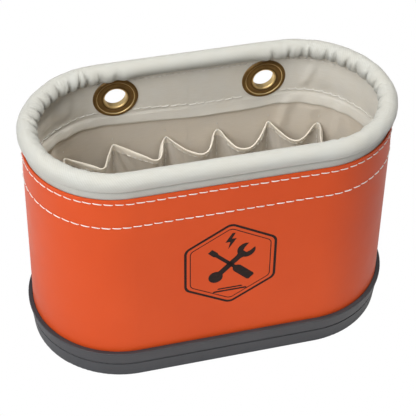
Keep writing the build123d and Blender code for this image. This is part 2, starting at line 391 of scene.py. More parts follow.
# ------------------------------------------------------------------ node materials
class Nodes:
    """Short-hand for building node trees."""

    def __init__(self, tree):
        self.tree = tree
        tree.nodes.clear()

    def __call__(self, kind, inputs=None, **props):
        node = self.tree.nodes.new(kind)
        for key, value in props.items():
            setattr(node, key, value)
        for key, value in (inputs or {}).items():
            self.put(node.inputs[key], value)
        return node

    def put(self, socket, value):
        if isinstance(value, bpy.types.NodeSocket):
            self.tree.links.new(value, socket)
        elif isinstance(value, bpy.types.Node):
            self.tree.links.new(value.outputs[0], socket)
        else:
            socket.default_value = value

    def math(self, operation, a, b=0.0, clamp=False):
        return self("ShaderNodeMath", {0: a, 1: b, 2: 0.0},
                    operation=operation, use_clamp=clamp).outputs[0]

    def add(self, a, b):
        return self.math("ADD", a, b)

    def sub(self, a, b, clamp=False):
        return self.math("SUBTRACT", a, b, clamp)

    def mul(self, a, b, clamp=False):
        return self.math("MULTIPLY", a, b, clamp)

    def vary(self, base, by, amount):
        return self.add(base, self.mul(by, amount))

    def centred(self, noise, amount):
        """Noise moved to lie about 0, then scaled."""
        return self.mul(self.sub(noise, 0.5), amount)

    def mix(self, factor, a, b, mode="MIX"):
        return self("ShaderNodeMix", {0: factor, 6: a, 7: b},
                    data_type="RGBA", blend_type=mode).outputs[2]

    def tint(self, factor, color, by):
        return self.mix(factor, color, by, "MULTIPLY")

    def ramp(self, factor, stops):
        """stops are (position, RGB)."""
        node = self("ShaderNodeValToRGB")
        elements = node.color_ramp.elements
        while len(elements) < len(stops):
            elements.new(0.5)
        for element, (position, color) in zip(elements, stops):
            element.position = position
            element.color = (*color, 1)
        self.put(node.inputs[0], factor)
        return node.outputs[0]

    def coords(self, kind="Object"):
        return self("ShaderNodeTexCoord").outputs[kind]

    def noise(self, vector, scale, detail, roughness=None):
        inputs = {"Vector": vector, "Scale": scale, "Detail": detail}
        if roughness is not None:
            inputs["Roughness"] = roughness
        return self("ShaderNodeTexNoise", inputs).outputs[0]

    def cells(self, vector, scale):
        return self("ShaderNodeTexVoronoi", {"Vector": vector, "Scale": scale}).outputs[0]

    def stretch(self, vector, scale):
        return self("ShaderNodeMapping", {"Vector": vector, "Scale": scale})

    def bump(self, height, strength, distance):
        return self("ShaderNodeBump",
                    {"Strength": strength, "Distance": distance, "Height": height})

    def principled(self, inputs):
        self("ShaderNodeOutputMaterial", {"Surface": self("ShaderNodeBsdfPrincipled", inputs)})

    def camera_switch(self, lighting, seen):
        """One shader for the light that bounces and another for what the camera sees."""
        is_camera = self("ShaderNodeLightPath").outputs["Is Camera Ray"]
        return self("ShaderNodeMixShader", {0: is_camera, 1: lighting, 2: seen})


def material(name):
    mat = bpy.data.materials.new(name)
    mat.use_nodes = True
    return mat, Nodes(mat.node_tree)


def weave_height(n, u, v, yarn_pitch, wander, twill):
    """Height of the woven yarns about 0.5, as crossed sine waves."""
    k = 2 * math.pi * 100.0 / yarn_pitch             # phase per UV unit
    if twill:
        # diagonal lines, crossed by finer ones at right angles
        lines = n.add(n.mul(u, k * 0.80), n.mul(v, k * 0.60))
        crossing = n.sub(n.mul(u, k * 1.2), n.mul(v, k * 1.6))
        a = n.math("SINE", n.add(lines, n.mul(wander, 1.6)))
        b = n.math("SINE", n.add(crossing, wander))
        height = n.add(n.mul(a, 0.15), n.mul(b, 0.10))
    else:
        a = n.math("SINE", n.add(n.mul(u, k), wander))
        b = n.math("SINE", n.add(n.mul(v, k), wander))
        height = n.mul(n.mul(a, b), 0.42)
    return n.add(height, 0.5)


# ramps of painted shade for the canvas, driven by ambient occlusion
SHADE = [(0.15, (0.60, 0.56, 0.50)), (0.75, (1, 1, 1))]
DEEP_SHADE = [(0.28, (0.26, 0.245, 0.22)), (0.52, (0.58, 0.56, 0.53)), (0.74, (1, 1, 1))]


def canvas_material(name, color, yarn_pitch, dirt, twill=False, hem=None, shade=SHADE):
    """Woven cotton canvas. hem is (height, gain): the cloth above that height is lighter.
    dirt is how strongly painted shade, from ambient occlusion through the shade ramp, darkens the hollows."""
    mat, n = material(name)
    uv = n.coords("UV")
    u, v = n("ShaderNodeSeparateXYZ", {0: uv}).outputs[:2]
    wander = n.centred(n.noise(uv, scale=22.0, detail=2.0), amount=2.2)
    height = weave_height(n, u, v, yarn_pitch, wander, twill)
    fibre = n.noise(uv, scale=160.0, detail=5.0, roughness=0.7)
    slub = n.noise(n.stretch(uv, scale=(3.0, 40.0, 1.0)), scale=3.0, detail=3.0)
    cloud = n.noise(uv, scale=3.5, detail=3.0, roughness=0.6)
    height = n.add(height, n.centred(fibre, amount=0.5))
    dark = [c * 0.84 for c in color]
    light = [min(1.0, c * 1.08) for c in color]
    col = n.mix(n.mul(height, 1.0, clamp=True), (*dark, 1), (*light, 1))
    col = n.tint(0.9, col, n.ramp(cloud, [(0.3, (1.0, 0.975, 0.94)), (0.7, (1.0, 1.0, 1.0))]))
    col = n.tint(0.7, col, n.ramp(slub, [(0.35, (0.95, 0.94, 0.92)), (0.6, (1, 1, 1))]))
    if hem:
        hem_z, gain = hem
        above = n.math("GREATER_THAN", v, hem_z * 0.01)
        col = n.mix(above, col, n.tint(1.0, col, (gain, gain, gain * 0.985, 1)))
    # painted shade: ambient occlusion darkens the cloth in its hollows and folds, through the shade ramp
    hollows = n("ShaderNodeAmbientOcclusion", {"Distance": 0.012}, samples=4).outputs["AO"]
    col = n.tint(dirt, col, n.ramp(hollows, shade))
    n.principled({
        "Base Color": col, "Roughness": n.vary(0.82, by=fibre, amount=0.12),
        "Normal": n.bump(height, strength=0.3, distance=0.0006),
        "Sheen Weight": 0.25, "Sheen Roughness": 0.5, "Specular IOR Level": 0.25})
    return mat


def thread_material(name, color, rough=0.5):
    mat, n = material(name)
    co = n.coords()
    fibre = n.noise(co, scale=1800.0, detail=2.0)
    cloud = n.noise(co, scale=60.0, detail=2.0)
    col = n.ramp(fibre, [(0.3, tuple(c * 0.80 for c in color)), (0.65, color)])
    col = n.tint(0.5, col, n.ramp(cloud, [(0.35, (0.9, 0.88, 0.84)), (0.6, (1, 1, 1))]))
    n.principled({
        "Base Color": col, "Roughness": rough, "Sheen Weight": 0.3,
        "Normal": n.bump(fibre, strength=0.3, distance=0.0002)})
    return mat


def shell_material():
    """Orange plastic with a faint ripple and paler scuffs."""
    mat, n = material("orange_shell")
    co = n.coords()
    big = n.noise(co, scale=9.0, detail=3.0, roughness=0.5)
    peel = n.noise(co, scale=900.0, detail=2.0)
    mid = n.noise(co, scale=45.0, detail=4.0)
    scuff = n.noise(n.stretch(co, scale=(1.0, 1.0, 7.0)), scale=60.0, detail=6.0, roughness=0.75)
    col = n.ramp(big, [(0.3, (0.585, 0.066, 0.0100)), (0.7, (0.645, 0.079, 0.0130))])
    col = n.mix(n.mul(mid, 0.25), col, (0.63, 0.085, 0.019, 1))
    # only the peaks of the scuff noise show
    col = n.mix(n.mul(n.sub(scuff, 0.62, clamp=True), 0.8), col, (0.72, 0.20, 0.09, 1))
    height = n.add(n.mul(peel, 0.25), n.mul(mid, 1.0))
    n.principled({
        "Base Color": col, "Roughness": n.vary(0.36, by=mid, amount=0.12),
        "Normal": n.bump(height, strength=0.22, distance=0.0009),
        "Coat Weight": 0.02, "Coat Roughness": 0.32, "Specular IOR Level": 0.13})
    return mat


def base_material():
    """Black moulded plastic with a fine grain."""
    mat, n = material("black_moulded")
    co = n.coords()
    grain = n.cells(co, scale=700.0)
    big = n.noise(co, scale=30.0, detail=4.0)
    fine = n.noise(co, scale=1500.0, detail=2.0)
    col = n.ramp(big, [(0.3, (0.030, 0.032, 0.037)), (0.7, (0.042, 0.044, 0.050))])
    height = n.vary(grain, by=fine, amount=0.6)
    n.principled({
        "Base Color": col, "Roughness": n.vary(0.42, by=big, amount=0.14),
        "Normal": n.bump(height, strength=0.25, distance=0.0004), "Specular IOR Level": 0.5})
    return mat


BRASS_DARK, BRASS_MID = (0.115, 0.066, 0.020), (0.26, 0.155, 0.052)
BRASS_SPAN = 24.0
# patina darkens the hollows; the pale zone round the hole and the thin bright ring at 18.55 mm are worn brass with
# painted highlights
BRASS_RINGS = [               # distance from the eyelet's axis in mm, colour
    (0.0, (0.90, 0.76, 0.46)), (11.3, (0.86, 0.66, 0.32)), (12.2, (0.55, 0.38, 0.16)),
    (12.9, BRASS_DARK), (14.6, BRASS_MID), (18.0, BRASS_MID), (18.55, (1.0, 0.80, 0.42)),
    (19.1, BRASS_MID), (20.2, BRASS_MID), (21.3, (0.15, 0.085, 0.026)), (22.2, (0.28, 0.17, 0.06)),
]


def brass_material():
    """Antiqued brass: dark patina in the hollows, worn bright on the ridge lines, with painted highlights on the ridge
    ring and round the hole.
    """
    mat, n = material("antique_brass")
    co = n.coords()
    x, y, z = n("ShaderNodeSeparateXYZ", {0: co}).outputs
    on_right = n.math("GREATER_THAN", x, 0.0)

    def off_axis(value, axis):
        """Offset from the centre of the eyelet on this side."""
        left, right = EYELETS[0][axis], EYELETS[1][axis]
        return n.sub(value, n.vary(left * MM, by=on_right, amount=(right - left) * MM))

    dx = off_axis(x, 0)
    dy = n.sub(y, float(band_radius(207.0)) * MM)
    dz = off_axis(z, 1)
    # height measured up the wall's slope
    up_wall = n.sub(n.mul(dz, math.cos(DRAFT)), n.mul(dy, math.sin(DRAFT)))
    squares = n.add(n.mul(dx, dx), n.mul(up_wall, up_wall))
    radius = n.mul(n.math("SQRT", squares), 1000.0)
    noise = n.noise(co, scale=260.0, detail=5.0, roughness=0.65)
    blot = n.noise(co, scale=70.0, detail=3.0)
    ring = n.mul(n.add(radius, n.centred(noise, amount=0.5)), 1 / BRASS_SPAN)
    # painted highlights with the wear: bright rings of colour where the rolled ridge and the hole's lip would catch
    # the light
    wear = n.ramp(ring, [(r / BRASS_SPAN, color) for r, color in BRASS_RINGS])
    blots = n.ramp(blot, [(0.3, (0.7, 0.66, 0.62)), (0.7, (1.12, 1.08, 1.0))])
    n.principled({
        "Base Color": n.tint(0.85, wear, blots), "Metallic": 0.72,
        "Roughness": n.vary(0.30, by=noise, amount=0.24),
        "Normal": n.bump(noise, strength=0.2, distance=0.0003)})
    return mat


def foam_material():
    mat, n = material("foam_cord")
    cells = n.cells(n.coords(), scale=900.0)
    col = n.ramp(cells, [(0.0, (0.62, 0.60, 0.56)), (0.8, (0.72, 0.70, 0.66))])
    n.principled({"Base Color": col, "Roughness": 0.9,
                  "Normal": n.bump(cells, strength=0.5, distance=0.0004)})
    return mat


def print_material():
    mat, n = material("dark_print")
    worn = n.noise(n.coords(), scale=300.0, detail=5.0, roughness=0.7)
    col = n.ramp(worn, [(0.25, (0.035, 0.012, 0.007)), (0.6, (0.010, 0.007, 0.006))])
    n.principled({"Base Color": col, "Roughness": 0.6, "Specular IOR Level": 0.15})
    return mat


SHELL = shell_material()
BASE = base_material()
# each canvas darkens its hollows with painted shade from ambient occlusion; the rim takes the most, for the shadows in
# its gathers
RIM_CANVAS = canvas_material("canvas_rim", (0.490, 0.497, 0.466), yarn_pitch=1.9, dirt=0.85,
                             twill=True, shade=DEEP_SHADE)
BAND_CANVAS = canvas_material("canvas_band", (0.745, 0.725, 0.665), yarn_pitch=1.5, dirt=0.45)
LINER_CANVAS = canvas_material("canvas_liner", (0.745, 0.685, 0.595), yarn_pitch=1.5, dirt=0.45)
POCKET_CANVAS = canvas_material("canvas_pocket", (0.70, 0.66, 0.595), yarn_pitch=1.4, dirt=0.6,
                                hem=(141.6, 1.26))
HEM_CANVAS = canvas_material("canvas_hem", (0.76, 0.74, 0.69), yarn_pitch=1.4, dirt=0.5)
THREAD = thread_material("thread_white", (0.86, 0.84, 0.79))
BLACK_THREAD = thread_material("thread_black", (0.012, 0.012, 0.014), rough=0.45)
BRASS = brass_material()
FOAM = foam_material()
PRINT = print_material()


# ------------------------------------------------------------------ cloth solver
def vertex_normals(grid):
    """Unit normals of a grid that closes in u."""
    du = np.roll(grid, -1, 0) - np.roll(grid, 1, 0)
    normals = np.cross(du, np.gradient(grid, axis=1))
    return normals / np.maximum(np.linalg.norm(normals, axis=-1, keepdims=True), 1e-9)


def spacings(grid):
    """Distances between neighbours, round the bucket and up the cloth."""
    return (np.linalg.norm(np.roll(grid, -1, 0) - grid, axis=-1),
            np.linalg.norm(np.diff(grid, axis=1), axis=-1))


def cloth_links(rest_u, rest_v, shear, bend_u, bend_v):
    """Distance constraints in the order they are solved: (ends, other ends, rest, stiffness).
    No two links of one entry share a point."""
    nu, nv = rest_u.shape
    rows, cols = np.arange(nu), np.arange(nv)
    diagonal = np.sqrt(rest_u[:, :-1] ** 2 + rest_v ** 2)
    links = []

    def link(rows_a, cols_a, rows_b, cols_b, rest, stiffness):
        links.append((np.ix_(rows_a, cols_a), np.ix_(rows_b % nu, cols_b), rest, stiffness))

    for start in (0, 1):
        i = rows[start::2]
        link(i, cols, i + 1, cols, rest_u[i], 1.0)
    for start in (0, 1):
        j = cols[start:nv - 1:2]
        link(rows, j, rows, j + 1, rest_v[:, j], 1.0)
    for start_u in (0, 1):
        i = rows[start_u::2]
        for start_v in (0, 1):
            j = cols[start_v:nv - 1:2]
            rest = diagonal[np.ix_(i, j)]
            link(i, j, i + 1, j + 1, rest, shear)
            link(i + 1 - nu * (i + 1 >= nu), j, i, j + 1, rest, shear)
    for start in range(4):
        i = rows[start::4]
        link(i, cols, i + 2, cols, rest_u[i] + rest_u[(i + 1) % nu], bend_u)
    for start in range(4):
        j = cols[start:nv - 2:4]
        link(rows, j, rows, j + 2, rest_v[:, j] + rest_v[:, j + 1], bend_v)
    return links


def relax_cloth(start, links, free, steps, iterations, force, confine, max_step, damping=0.90):
    """Lets a grid of cloth settle under position constraints. free is 0 where the cloth is sewn
    down, force(x, step) is added to the motion and confine(x) keeps points within bounds."""
    x = start.astype(float).copy()
    previous = x.copy()
    loose = free[..., None] > 0
    for step in range(steps):
        motion = (x - previous) * damping
        length = np.sqrt((motion * motion).sum(-1, keepdims=True))
        motion *= np.minimum(1.0, max_step / np.maximum(length, 1e-9))
        previous = x.copy()
        motion = motion + force(x, step)
        x = x + motion * free[..., None]
        for _ in range(iterations):
            for ends_a, ends_b, rest, stiffness in links:
                a, b = x[ends_a], x[ends_b]
                free_a, free_b = free[ends_a], free[ends_b]
                d = b - a
                length = np.sqrt((d * d).sum(-1))
                total = free_a + free_b
                pull = np.where(total > 0, stiffness * (length - rest)
                                / (np.maximum(length, 1e-9) * np.maximum(total, 1e-9)), 0.0)
                pull = pull[..., None] * d
                x[ends_a] = a + free_a[..., None] * pull
                x[ends_b] = b - free_b[..., None] * pull
            x = x + (confine(x) - x) * loose
    return x


# ------------------------------------------------------------------ the liner's and band's surfaces
# how far hand-guided lines stray from level along the wall, in mm
STRAY_U = [-443, -190, -140, -110, -95, -45, 0, 40, 70, 95, 125, 160, 200, 443]
STRAY_ROW = [0, 0.5, 2.2, 3.8, 3.4, 1.6, -1.8, -1.8, -0.6, 0.4, 1.2, 0.8, 0, 0]
STRAY_EDGE = [0, 0.8, 3.4, 4.6, 3.4, 1.6, -2.4, -2.6, -2.6, 0.4, 1.2, 0.8, 0, 0]

LINER_CREASES = (
    # length along the wall, height, tilt, half-width, depth, half-reach
    (104.0, 200.0, 0.10, 3.6, 1.6, 26.0), (122.0, 205.0, 0.35, 4.5, 2.6, 24.0),
    (141.0, 196.0, -0.15, 5.0, 1.8, 30.0), (98.0, 150.0, 0.30, 6.5, 2.2, 34.0),
    (134.0, 152.0, -0.12, 6.0, 1.6, 36.0), (160.0, 165.0, 0.10, 6.0, 1.8, 40.0),
    (-104.0, 198.0, -0.1, 5.0, 1.6, 28.0), (-128.0, 190.0, 0.12, 6.0, 2.0, 40.0),
    (-150.0, 170.0, -0.1, 6.0, 1.8, 45.0),
)


def pocket_seam(i):
    """Length along the wall of seam i. The wide pitch changes to the front one at seam 4."""
    if i <= 4:
        return POCKET_OFFSET + (i - 0.5) * REAR_PITCH
    return POCKET_OFFSET + 3.5 * REAR_PITCH + (i - 4) * FRONT_PITCH


def row2_in(u):
    return ROW2_IN + np.interp(wrap(np.asarray(u, float)), STRAY_U, STRAY_ROW)


def liner_fold(u, z):
    """How far the liner stands off the wall: soft upright folds, deeper in the end arcs."""
    end = on_end(u)
    u = np.mod(u, PERIM)
    big = 0.5 + 0.5 * noise2(u / 21.0 + (z - 170) / 150.0, z / 120.0, 21)
    small = 0.5 + 0.5 * noise2(u / 9.0 + (z - 170) / 70.0, z / 50.0, 22)
    up = ease((z - 110) / 60.0)
    depth = (0.35 + 3.1 * end) * big ** 1.5 * (0.5 + 0.5 * up) + 0.45 * small * (0.35 + 0.65 * end)
    # a few stronger creases, where the cloth is drawn in towards the end arcs
    for crease_u, crease_z, tilt, width, deep, reach in LINER_CREASES:
        du = wrap(u - (crease_u + (z - crease_z) * tilt))
        depth = depth + deep * bell(du, width) * np.exp(-((z - crease_z) / reach) ** 4)
    # the pocket seams hold the liner flat
    for i in range(-4, POCKETS - 4):
        depth = depth * (1 - bell(wrap(u - pocket_seam(i)), 10.0) * ease((174.0 - z) / 24.0))
    return depth


def band_surface(u, z):
    """Racetrack radius of the band's inner face."""
    u, z = np.broadcast_arrays(np.asarray(u, float), np.asarray(z, float))
    x, y, _, _ = track(u, 80.0)
    # 1 near an eyelet, 0 from 40 mm away
    clamped = ease((40.0 - eyelet_distance(x, z)) / 15.0) * (y > 0)
    row2 = row2_in(u)
    hold = (1 - bell(z - ROW1_IN, 9.0)) * (1 - bell(z - row2, 9.0))
    fold = liner_fold(u, z) * hold * (1 - clamped)
    flare = ease((row2 - 4.0 - z) / 14.0) * (0.5 + 0.9 * (0.5 + 0.5 * smooth_noise(u / 17.0, 31)))
    near_rows = bell(z - ROW1_IN, 3.0) + bell(z - row2, 3.0)
    pucker = 0.22 * np.cos(2 * math.pi * u / STITCH_PITCH) * near_rows
    return band_radius(z) - fold * 0.8 - flare - pucker * (1 - clamped)


def liner_surface(u, z):
    """Racetrack radius of the liner's inner face, flat where the band covers it."""
    u, z = np.broadcast_arrays(np.asarray(u, float), np.asarray(z, float))
    return liner_radius(z) - liner_fold(u, z) * ease((BAND_Z0 + 6 - z) / 12.0)


wall_u = np.linspace(0, PERIM, 440, endpoint=False)[:, None]


def make_liner():
    z = np.concatenate([np.linspace(5.8, 160, 46), np.linspace(164, 182, 8),
                        np.linspace(186, 231.8, 6)])[None, :]
    front = at(wall_u, liner_surface(wall_u, z), z)
    back = at(wall_u, liner_radius(z) + 0.9, z)
    liner = sheet("liner_wall_canvas", front, back, uv_grid(wall_u, z), eyelet_holes=True)
    fit(liner, LINER_CANVAS, "canvas", "liner_wall")


def make_band():
    z = np.concatenate([[BAND_Z0, BAND_Z0, BAND_Z0 + 0.6],
                        np.linspace(BAND_Z0 + 2.2, 230.6, 36), [231.4]])[None, :]
    surface = band_surface(wall_u, z)
    front = surface - 0.75 * ease((BAND_Z0 + 13.0 - z) / 1.5)     # the edge is turned under
    back = np.minimum(surface + 0.9, liner_surface(wall_u, z) - 0.15)
    back = np.maximum(back, front + 0.5)
    back[:, -1] = front[:, -1] + 0.9
    # the lowest rows close into a rounded edge
    middle = (front[:, 0] + back[:, 0]) / 2
    front[:, 0] = middle - 0.05
    back[:, 0] = middle + 0.05
    front[:, 1] += 0.25
    # the folded edge wanders
    edge = 0.9 * (0.5 + 0.5 * noise2(wall_u / 40.0, 0.5, 41)) * ease((180 - z) / 8)
    stray = np.interp(wrap(wall_u), STRAY_U, STRAY_EDGE)
    height = z + edge + (0.5 * noise2(wall_u / 55.0, 1.5, 42) + stray) * ease((190 - z) / 14)
    band = sheet("upper_band_canvas", at(wall_u, front, height), at(wall_u, back, height),
                 uv_grid(wall_u, z), eyelet_holes=True)
    fit(band, BAND_CANVAS, "canvas", "upper_band")


make_liner()
make_band()

# ------------------------------------------------------------------ pockets
# a strip with cloth to spare between its seams, left to hang
HEM_ROWS = 7
HEM_Z = POCKET_PEAK - 8.5
pocket_z = np.concatenate([
    np.linspace(0, 1, 27)[:-1] * (HEM_Z - POCKET_FOOT) + POCKET_FOOT,
    np.linspace(HEM_Z, POCKET_PEAK, HEM_ROWS)])
POCKET_NU, POCKET_NV = POCKETS * COLUMNS, len(pocket_z)

FLATNESS = 1.45
MOUTHS = {
    # seam: depth, drop, where along the mouth it hangs lowest, flatness of the sag
    -3: (16.5, 13.0, 0.62, FLATNESS), -2: (17.5, 13.5, 0.66, FLATNESS),
    -1: (18.5, 13.5, 0.72, FLATNESS), 0: (18.0, 12.8, 0.62, 1.9), 1: (18.5, 13.4, 0.47, 2.1),
    2: (17.5, 12.0, 0.57, 1.8), 3: (17.0, 12.0, 0.36, FLATNESS),
}


def pocket_shape():
    """The strip before it settles."""
    t = np.arange(COLUMNS) / COLUMNS
    tall = POCKET_PEAK - POCKET_FOOT
    up = (pocket_z - POCKET_FOOT)[None, :]
    q = up / tall
    wall = (liner_radius(pocket_z) - 0.6)[None, :]
    rng = np.random.RandomState(77)
    strip = []
    for seam in range(-4, POCKETS - 4):
        # drawn for every pocket, used by those that are not in the table
        drawn = (rng.uniform(15.5, 19.0), rng.uniform(11.0, 15.0), rng.uniform(0.36, 0.66), FLATNESS)
        depth, drop, low, flat = MOUTHS.get(seam, drawn)
        low = 1 - low if seam > 4 else low
        # skewed moves the middle of the curve to where the mouth hangs lowest
        power = math.log(0.5) / math.log(low)
        if power >= 1:
            skewed = t ** power
        else:
            skewed = 1 - (1 - t) ** (math.log(0.5) / math.log(1 - low))
        skewed = np.clip(skewed, 0, 1)
        bulge = 0.6 * np.sin(math.pi * skewed) ** 0.92 + 0.4 * np.sin(math.pi * t) ** 0.92
        sag = 1 - np.abs(2 * skewed - 1) ** flat
        stand_off = bulge[:, None] * (2.2 + (depth - 2.2) * q ** 0.85)
        z = POCKET_FOOT + up * (1 - sag[:, None] * drop / tall * (0.25 + 0.75 * q))
        across = t - 0.055 * np.sin(2 * math.pi * t)
        u = pocket_seam(seam) + across * (pocket_seam(seam + 1) - pocket_seam(seam))
        strip.append(at(u[:, None], wall - stand_off, z))
    return np.concatenate(strip), q


def drape_pockets():
    start, q = pocket_shape()
    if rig.quick():
        return start
    rest_u, rest_v = spacings(start)
    # the cloth is cut a little fuller than the shape it starts in
    links = cloth_links(rest_u * (1.0 + 0.035 * q), rest_v * 1.006,
                        shear=0.35, bend_u=0.10, bend_v=0.15)
    free = np.ones((POCKET_NU, POCKET_NV))
    free[::COLUMNS] = 0
    free[:, 0] = 0
    kick = noise2(np.arange(POCKET_NU)[:, None] / 5.0, np.arange(POCKET_NV)[None, :] / 6.0, 88)

    def force(x, step):
        """A brief uneven push in or out, and a steady weight."""
        _, r, nx, ny = from_track(x)
        push = 0.05 * kick * (step < 6)
        return np.stack([-nx * push, -ny * push, np.full(r.shape, -0.012)], -1)

    def confine(x):
        """Keeps the cloth inside the liner and within 27 mm of it."""
        centre_x, r, nx, ny = from_track(x)
        limit = liner_radius(x[..., 2]) - 0.8
        r = np.clip(r, limit - 27.0, limit)
        return np.stack([centre_x + r * nx, r * ny, x[..., 2]], -1)

    settled = relax_cloth(start, links, free, steps=26, iterations=8, force=force,
                          confine=confine, max_step=0.7)
    # no point ends more than 4 mm from where it started
    moved = settled - start
    length = np.linalg.norm(moved, axis=-1, keepdims=True)
    return start + moved * np.minimum(1.0, 4.0 / np.maximum(length, 1e-9))


pockets = drape_pockets()
_, _, pocket_nx, pocket_ny = from_track(pockets)
pocket_normals = vertex_normals(pockets)
# turned towards the bucket's middle
pocket_normals = pocket_normals * np.sign(
    -(pocket_normals[..., 0] * pocket_nx + pocket_normals[..., 1] * pocket_ny).mean())
in_hem = ease((pocket_z - (POCKET_PEAK - 8.6)) / 1.2)
edge_round = np.ones(POCKET_NV)
edge_round[-1] = 0.55
front_half = ((0.45 + 0.55 * in_hem) * edge_round)[None, :, None]
back_half = ((0.45 + 0.30 * in_hem) * edge_round)[None, :, None]
pocket_front = pockets + pocket_normals * front_half
pocket_back = pockets - pocket_normals * back_half


def path_lengths(path):
    return np.concatenate([[0], np.cumsum(np.linalg.norm(np.diff(path, axis=0), axis=-1))])


pocket_uv = uv_grid(path_lengths(pockets[:, 1 - HEM_ROWS])[:, None], pocket_z[None, :])


def make_pocket_strip(name, first, last, node):
    """The pockets from one seam to another, as a closed sheet."""
    columns = np.arange(first * COLUMNS, last * COLUMNS + 1) % POCKET_NU
    front, back, uv = pocket_front[columns], pocket_back[columns], pocket_uv[columns]
    # a hair of clearance where the two strips meet on a seam
    for face in (front, back):
        face[0] += (face[1] - face[0]) * 0.12
        face[-1] += (face[-2] - face[-1]) * 0.12
    verts = there_and_back(front, back)
    nu, nv = verts.shape[:2]
    faces = grid_faces(nu, nv, close_u=False).tolist()
    for i in (0, nu - 1):
        for j in range(POCKET_NV - 1):
            row = i * nv
            quad = [row + j, row + j + 1, row + nv - 2 - j, row + nv - 1 - j]
            faces.append(quad if i == 0 else quad[::-1])
    obj = make_object(name, verts.reshape(-1, 3), faces, there_and_back(uv, uv).reshape(-1, 2))
    outward(obj)
    subdivide(obj)
    fit(obj, POCKET_CANVAS, "pocket_canvas", node)


make_pocket_strip("rear_pockets", 0, POCKETS // 2, "rear_pocket_strip")
make_pocket_strip("front_pockets", POCKETS // 2, POCKETS, "front_pocket_strip")

# ------------------------------------------------------------------ tapes and floor
tape_u = np.linspace(0, PERIM, 360, endpoint=False)

HEM_TAPE_PROFILE = [          # offset from the wall, height
    (0.0, 24.1), (0.0, 27.9), (-3.6, 27.9), (-4.4, 27.3), (-4.5, 26.0), (-4.4, 24.7), (-3.7, 24.0)]
HEM_TAPE_V = [0, 3.8, 7.4, 8.4, 9.7, 11, 12.0]

BINDING_Z = 4.35 + 0.9 + 0.15
BINDING_R = liner_radius(20.0) - 0.35
BINDING_PROFILE = [(offset, BINDING_Z + z) for offset, z in (
    # offset from the wall, height above the floor canvas
    (0.0, 0.6), (0.0, 7.9), (-0.5, 8.0), (-1.0, 7.8), (-1.05, 2.2),
    (-1.5, 1.2), (-7.6, 1.0), (-8.0, 0.7), (-7.9, 0.25), (-2.0, 0.2))]


def make_tape(name, node, radius, profile, across, ripple):
    """A tape round the inside of the wall. ripple(j, offset) gives the unevenness of profile
    point j, outwards and upwards; across is each point's V coordinate."""
    points = np.zeros((len(tape_u), len(profile), 3))
    for j, (offset, z) in enumerate(profile):
        out, lift = ripple(j, offset)
        points[:, j] = at(tape_u, radius + offset + out, z + lift)
    uv = uv_grid(tape_u[:, None], np.asarray(across))
    obj = make_object(name, points.reshape(-1, 3), grid_faces(*points.shape[:2]),
                      uv.reshape(-1, 2))
    outward(obj)
    subdivide(obj)
    fit(obj, HEM_CANVAS, "canvas", node)


def hem_ripple(j, offset):
    return 0.18 * smooth_noise(tape_u / 6.0, 60 + j) if offset < 0 else 0.0, 0.0


def binding_ripple(j, offset):
    return (0.10 * smooth_noise(tape_u / 8.0, 70 + j) if offset < -0.4 else 0.0,
            0.12 * smooth_noise(tape_u / 9.0, 90 + j) if offset < -1.2 else 0.0)


def make_floor():
    u = np.linspace(0, PERIM, 300, endpoint=False)[:, None]
    r = np.concatenate([[0.4], np.linspace(6, 84.5, 26), [86.4]])[None, :]
    x, y, _, _ = track(u, r)
    swell = 0.55 * (0.5 + 0.5 * noise2(x / 30.0 + 20, y / 26.0 + 20, 51)) * ease((82 - r) / 12)
    loops = there_and_back(at(u, r, 4.37), at(u, r, 4.95 + 0.3 + swell))
    uv = uv_grid(x, y)
    obj = make_object("liner_floor_canvas", loops.reshape(-1, 3),
                      grid_faces(*loops.shape[:2], close_v=False),
                      there_and_back(uv, uv).reshape(-1, 2))
    outward(obj, lambda bm: bmesh.ops.holes_fill(
        bm, edges=[e for e in bm.edges if e.is_boundary], sides=0))
    fit(obj, LINER_CANVAS, "canvas", "liner_floor")


# the tape along the pockets' bottoms
make_tape("pocket_hem_tape_canvas", "pocket_hem_tape", liner_radius(24.0) - 0.1,
          HEM_TAPE_PROFILE, HEM_TAPE_V, hem_ripple)
make_floor()
# the angled tape where wall and floor meet
make_tape("floor_binding_tape", "floor_binding", BINDING_R, BINDING_PROFILE,
          path_lengths(np.array(BINDING_PROFILE)), binding_ripple)


# ------------------------------------------------------------------ stitches
def sewn(name, node, segments, seed, radius=0.5, around=8, along=9, lift=0.35,
         mat=THREAD, slot="thread"):
    """Each segment is (start, end, surface normal). The thread rises out of one needle hole, lies
    on the cloth and dives into the next, and its three plies twist round each other."""
    twist, sink = 2.2, 0.7
    rng = np.random.RandomState(seed)
    verts, faces = [], []
    t = np.linspace(0, 1, along)
    angle = np.linspace(0, 2 * math.pi, around, endpoint=False)
    rise = lift * radius * 2 + (-sink - lift * radius) * np.abs(2 * t - 1) ** 5
    for start, end, normal in segments:
        start, normal = np.array(start, float), np.array(normal, float)
        direction = np.array(end, float) - start
        length = np.linalg.norm(direction)
        direction /= length
        side = np.cross(normal, direction)
        bow = rng.uniform(-0.12, 0.12) * np.sin(math.pi * t)
        centre = (start + np.outer(t * length, direction) + np.outer(rise, normal)
                  + np.outer(bow, side))
        swell = 0.80 + 0.20 * np.sin(math.pi * t) ** 0.35
        thick = radius * swell * rng.uniform(0.93, 1.07)
        phase = rng.uniform(0, 6.28)
        turn = angle[None, :] - twist * t[:, None] * math.pi + phase
        spread = (thick[:, None] * (0.86 + 0.14 * np.abs(np.cos(1.5 * turn))))[..., None]
        rings = centre[:, None, :] + spread * (
            np.cos(angle)[None, :, None] * side + np.sin(angle)[None, :, None] * normal)
        base = len(verts) * along * around
        verts.append(rings.reshape(-1, 3))
        for row in range(base, base + (along - 1) * around, around):
            for j in range(around):
                j2 = (j + 1) % around
                faces.append((row + j, row + j2, row + around + j2, row + around + j))
        last = base + (along - 1) * around
        faces.append(tuple(range(base, base + around))[::-1])
        faces.append(tuple(range(last, last + around)))
    obj = make_object(name, np.concatenate(verts), faces)
    outward(obj)
    fit(obj, mat, slot, node)


